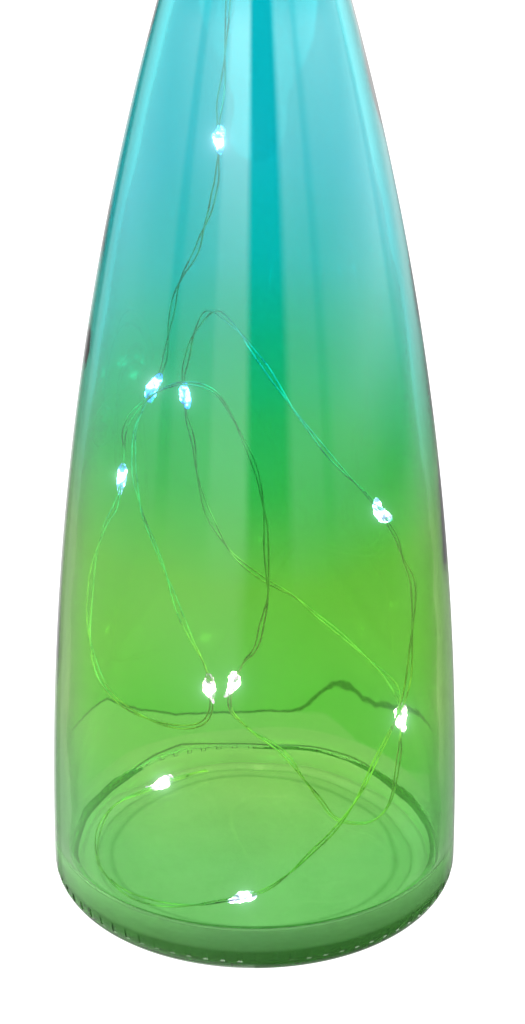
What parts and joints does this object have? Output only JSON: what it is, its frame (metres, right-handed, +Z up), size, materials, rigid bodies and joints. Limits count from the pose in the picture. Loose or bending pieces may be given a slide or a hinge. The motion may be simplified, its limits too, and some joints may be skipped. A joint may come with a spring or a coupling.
{
  "type": "cork bottle light",
  "caption": "Tinted glass bottle fading from blue to green, with a cork stopper that holds a battery tray and a slide switch, and a thin wire of small lamps lying loose inside.",
  "frame": {"origin": "centre of the bearing ring under the bottle, on the surface it stands on", "axes": "+Z up along the bottle's axis, +X to the right in the picture, +Y away from the camera"},
  "size_m": [0.08, 0.08, 0.3186],
  "materials": {
    "lacquered_glass": "clear soda-lime glass under a transparent lacquer that fades from turquoise at the top to green at the base",
    "moulded_cork": "moulded cork granules, matt",
    "rubber": "matt black",
    "black_plastic": "fine moulded texture",
    "white_plastic": "smooth moulding",
    "board_laminate": "green solder mask",
    "resistor_ceramic": "matt black film on ceramic with tinned ends",
    "nickel_steel": "nickel-plated strip",
    "cell_steel": "drawn nickel-plated can",
    "nylon": "translucent moulded nylon",
    "silver_wire": "clear enamel on silvered copper",
    "clear_resin": "clear cast resin, lit",
    "lamp_chip": "cool white lamp chip, lit"
  },
  "bodies": {
    "bottle": {"bottle": "lacquered_glass", "led_wire": "silver_wire", "led_drop_1": "clear_resin", "led_drop_2": "clear_resin", "led_drop_3": "clear_resin", "led_drop_4": "clear_resin", "led_drop_5": "clear_resin", "led_drop_6": "clear_resin", "led_drop_7": "clear_resin", "led_drop_8": "clear_resin", "led_drop_9": "clear_resin", "led_drop_10": "clear_resin", "led_chip_1": "lamp_chip", "led_chip_2": "lamp_chip", "led_chip_3": "lamp_chip", "led_chip_4": "lamp_chip", "led_chip_5": "lamp_chip", "led_chip_6": "lamp_chip", "led_chip_7": "lamp_chip", "led_chip_8": "lamp_chip", "led_chip_9": "lamp_chip", "led_chip_10": "lamp_chip"},
    "stopper": {"cork_shell": "moulded_cork", "wire_grommet": "rubber"},
    "battery_tray": {"battery_tray": "black_plastic", "top_cap": "black_plastic", "circuit_board": "board_laminate", "resistor": "resistor_ceramic", "switch_body": "nickel_steel", "positive_contact": "nickel_steel", "negative_contact": "nickel_steel", "feed_wire": "silver_wire", "button_cell_1": "cell_steel", "cell_cap_1": "cell_steel", "cell_gasket_1": "nylon", "button_cell_2": "cell_steel", "cell_cap_2": "cell_steel", "cell_gasket_2": "nylon", "button_cell_3": "cell_steel", "cell_cap_3": "cell_steel", "cell_gasket_3": "nylon"},
    "switch_knob": {"switch_knob": "white_plastic"}
  },
  "joints": [
    {"name": "cork_lift", "type": "slide", "parent": "bottle", "child": "stopper", "axis": [0, 0, 1], "range_m": [0, 0.04]},
    {"name": "tray_pull", "type": "slide", "parent": "stopper", "child": "battery_tray", "axis": [0, 0, 1], "range_m": [0, 0.035]},
    {"name": "switch_slide", "type": "slide", "parent": "battery_tray", "child": "switch_knob", "axis": [1, 0, 0], "range_m": [0, 0.002]}
  ]
}
